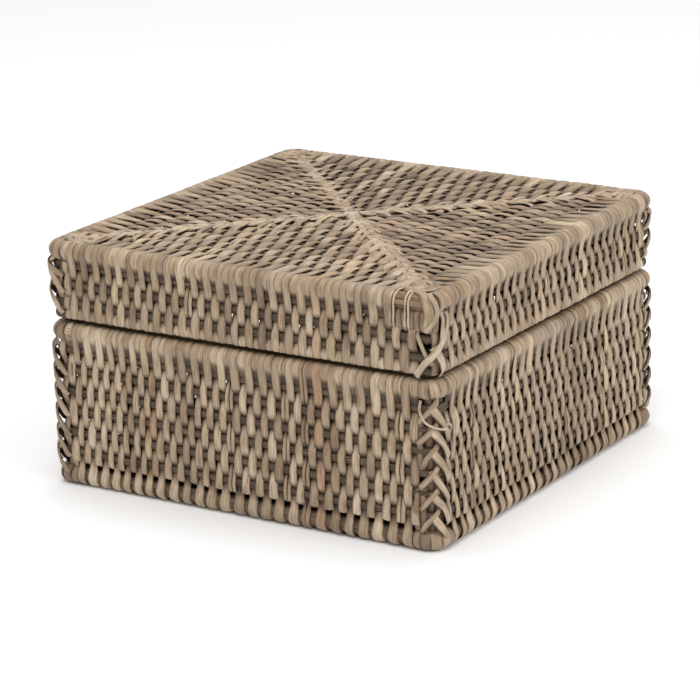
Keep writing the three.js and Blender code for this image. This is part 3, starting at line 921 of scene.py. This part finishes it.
lid_tops = [99.6, 90.1]
lid_foot = 76.4
for quarter, corner_name in enumerate(corner_names):
    tops, loops, more = (lid_tops, rim_loops, side_lid) if quarter else ([], [2.8, 5.8], front_lid)
    corner_lashing(f"lid_{corner_name}_lashing_legs", quarter, "lid", tops, lid_foot,
                   "lid_edge_rod", 320 + quarter, loops, [], 0.8 if quarter else 1.0, more)


# Mitres
# Where two quarters of a panel meet on a diagonal, the ends of their split strips are
# turned back over a pair of long strips. They lie as short leaves on both sides, and
# a knot of short strips covers the middle.
mitre_centre = (-3.5, 2.0)
mitre_end = 131.0
mitre_edge = 94.0
leaf_pitch = 9.4
# Leaves on either side of a diagonal, as (side, length, share of the full width):
# first for the front right diagonal, then for the others
leaf_sizes = [((1, 6.0, 1.2), (-1, 4.6, 0.75)), ((1, 7.0, 1.0), (-1, 9.0, 1.0))]
# Where along a diagonal its leaves reach their full size
bold_from = [44, 118, 118, 118]
small_leaf = 0.75
mitre_width, leaf_width, closing_width = 3.4, 4.0, 3.6
closing_strips = [(122.5, 9.0), (127.0, 7.0)]
knot_bearings = [20, 75, 130, 165]


def mitre_strand(knots, width, tone, tint, draws, diagonal, height, facing):
    """A strip laid on a panel through knots, each a distance along the diagonal, one across
    it and one sunk into the panel, in millimetres. It stays within the panel's edge."""
    line = smooth_line(knots, knot_steps * len(knots))
    turn = math.radians(-45 + 90 * diagonal)
    ahead = np.array([math.cos(turn), math.sin(turn)])
    aside = np.array([ahead[1], -ahead[0]])
    shift = np.array(mitre_centre) * np.clip(1 - line[:, :1] / mitre_end, 0, 1)
    flat = line[:, :1] * ahead + line[:, 1:2] * aside + shift
    flat = flat * np.minimum(1, mitre_edge / np.max(np.abs(flat), axis=1, keepdims=True))
    points = np.concatenate([flat * MM, (height - facing * line[:, 2:3]) * MM], axis=1)
    outward = np.broadcast_to(np.array([0.0, 0.0, facing]), points.shape)
    return worn_strand(points, outward, width, tone, tint, draws)


def mitres(name, body, height, facing, seed, nodes):
    """The long strips and the leaves of all four diagonals, two strips that close the end of
    each, and the knot in the middle."""
    draws = np.random.default_rng(seed)
    strands = []
    for diagonal in range(4):
        where = (draws, diagonal, height, facing)
        for side in (-1.3, 1.5):
            knots = [(spot, side + draws.normal(0, 0.5),
                      0.25 + 0.25 * math.cos(spot / leaf_pitch * 2 * math.pi))
                     for spot in np.arange(4, mitre_end - 2, leaf_pitch / 2)]
            strands.append(mitre_strand(knots, mitre_width, 0.66 + draws.normal(0, 0.06), 0.45, *where))
        for spot in np.arange(9.0, mitre_end - 6, leaf_pitch):
            bold = 1.0 if spot > bold_from[diagonal] else small_leaf
            for side, reach, plump in leaf_sizes[min(diagonal, 1)]:
                begin = spot + draws.normal(0, 0.8)
                reach = (reach + draws.normal(0, 0.8)) * bold
                knots = [(begin - 3.0, -side * 2.2, 0.5), (begin, side * 0.4, -0.02),
                         (begin + reach * 0.55, side * reach * 0.6, 0.0),
                         (begin + reach, side * reach * 1.05, 0.45),
                         (begin + reach + 1.6, side * (reach * 1.05 + 1.8), 2.6)]
                strands.append(mitre_strand(knots, leaf_width * bold * plump, 0.68 + draws.normal(0, 0.09),
                                            float(np.clip(0.5 + draws.normal(0, 0.2), 0, 1)), *where))
        for spot, reach in closing_strips:
            knots = [(spot - 5, -reach - 2, 2.0), (spot - 3, -reach, 0.3), (spot, -reach / 2, 0.1),
                     (spot + 1.2, 0, 0.0), (spot, reach / 2, 0.1), (spot - 3, reach, 0.3),
                     (spot - 5, reach + 2, 2.0)]
            strands.append(mitre_strand(knots, closing_width, 0.58, 0.5, *where))
    for number, bearing in enumerate(knot_bearings):
        aim_x, aim_y = math.cos(math.radians(bearing)), math.sin(math.radians(bearing))
        knots = [(-5.5 * aim_x, -5.5 * aim_y, 1.2), (-2.6 * aim_x, -2.6 * aim_y, 0.05),
                 (0, 0.4 * number, 0.0), (2.8 * aim_x, 2.8 * aim_y, 0.05), (5.5 * aim_x, 5.5 * aim_y, 1.2)]
        strands.append(mitre_strand(knots, mitre_width, 0.86, 0.5, draws, 0, height, facing))
    add_strands(name, strands, 0, body, nodes)


mitres("lid_top_mitre_leaves", "lid", 111.2, 1.0, 401, ["lid_top_mitre_strips"])
mitres("base_mitre_leaves", "box", 0.63, -1.0, 402, ["base_mitre_strips"])


# Collar
# A flat band of split cane stands inside the mouth of the box and keeps the lid in
# line. It is brown and matt, with the grain running round.
band_stretch = (25, 25, 1600)


def band_material():
    """Brown flat band with long level grain."""
    material, tree, shader = new_material("rattan_band", 0.8)
    where = tree.nodes.new("ShaderNodeTexCoord")
    grain = noise_value(tree, stretched(tree, where.outputs["Object"], band_stretch), 1.0, 4.0)
    colour = ramped(tree, grain, [
        (0.3, (0.07, 0.045, 0.025)), (0.5, (0.15, 0.10, 0.06)), (0.75, (0.25, 0.175, 0.11))])
    tree.links.new(colour, shader.inputs["Base Color"])
    add_relief(tree, shader, grain, 0.4, 0.2 * MM)
    return material


band = band_material()
for slot in bpy.data.objects["box_lid_collar"].material_slots:
    slot.material = band


# Floor, light and camera
# A plain pale floor and soft studio light. The camera stands where the
# photograph was taken from, a long way off with a long lens.
floor_half = 3.0
sky_strength = 0.73
lamp_target = Vector((0, 0, 0.05))
floor_mesh = bpy.data.meshes.new("floor")
floor_mesh.from_pydata([(-floor_half, -floor_half, 0), (floor_half, -floor_half, 0),
                        (floor_half, floor_half, 0), (-floor_half, floor_half, 0)], [], [(0, 1, 2, 3)])
floor_white, _, floor_shader = new_material("floor_white", 0.9)
floor_shader.inputs["Base Color"].default_value = (0.92, 0.92, 0.92, 1)
floor_mesh.materials.append(floor_white)
floor = bpy.data.objects.new("floor", floor_mesh)
bpy.context.scene.collection.objects.link(floor)

world = bpy.data.worlds.new("studio")
world.use_nodes = True
world.node_tree.nodes["Background"].inputs["Color"].default_value = (1.0, 1.0, 1.0, 1)
world.node_tree.nodes["Background"].inputs["Strength"].default_value = sky_strength
bpy.context.scene.world = world
bpy.context.scene.view_settings.view_transform = "Standard"


def softbox(name, place, size, power):
    """A square lamp that faces the box."""
    lamp = bpy.data.lights.new(name, "AREA")
    lamp.shape = "SQUARE"
    lamp.size = size
    lamp.energy = power
    holder = bpy.data.objects.new(name, lamp)
    holder.location = place
    holder.rotation_euler = (Vector(place) - lamp_target).to_track_quat("Z", "Y").to_euler()
    bpy.context.scene.collection.objects.link(holder)


softbox("key", (0.3, -0.9, 1.8), 0.8, 11)
softbox("fill", (1.5, -0.2, 1.0), 1.0, 8)
softbox("top", (-0.2, 0.3, 1.9), 1.0, 10)

# The camera that was fitted to the outline of the box in the photograph
view_azimuth = math.radians(32.11)
view_elevation = math.radians(16.69)
view_roll = math.radians(-1.43)
view_distance = 7.0715 * 2 * half_side
lens_pixels = 3136.1
image_pixels = 700
middle_shift = (8.08, -16.24)
aim = Vector((0, 0, 0.28 * 2 * half_side))

back = Vector((
    math.sin(view_azimuth) * math.cos(view_elevation),
    -math.cos(view_azimuth) * math.cos(view_elevation),
    math.sin(view_elevation),
))
side = (-back).cross(Vector((0, 0, 1))).normalized()
up = side.cross(-back)
turned_side = side * math.cos(view_roll) + up * math.sin(view_roll)
turned_up = up * math.cos(view_roll) - side * math.sin(view_roll)
ahead = -back - turned_side * (middle_shift[0] / lens_pixels) + turned_up * (middle_shift[1] / lens_pixels)
ahead = ahead.normalized()
turned_side = ahead.cross(turned_up).normalized()
turned_up = turned_side.cross(ahead)
camera_data = bpy.data.cameras.new("camera")
camera_data.sensor_width = 36
camera_data.lens = lens_pixels * camera_data.sensor_width / image_pixels
camera_data.clip_end = 20
camera = bpy.data.objects.new("camera", camera_data)
placing = Matrix((turned_side, turned_up, -ahead)).transposed().to_4x4()
placing.translation = aim + back * view_distance
camera.matrix_world = placing
bpy.context.scene.collection.objects.link(camera)
bpy.context.scene.camera = camera
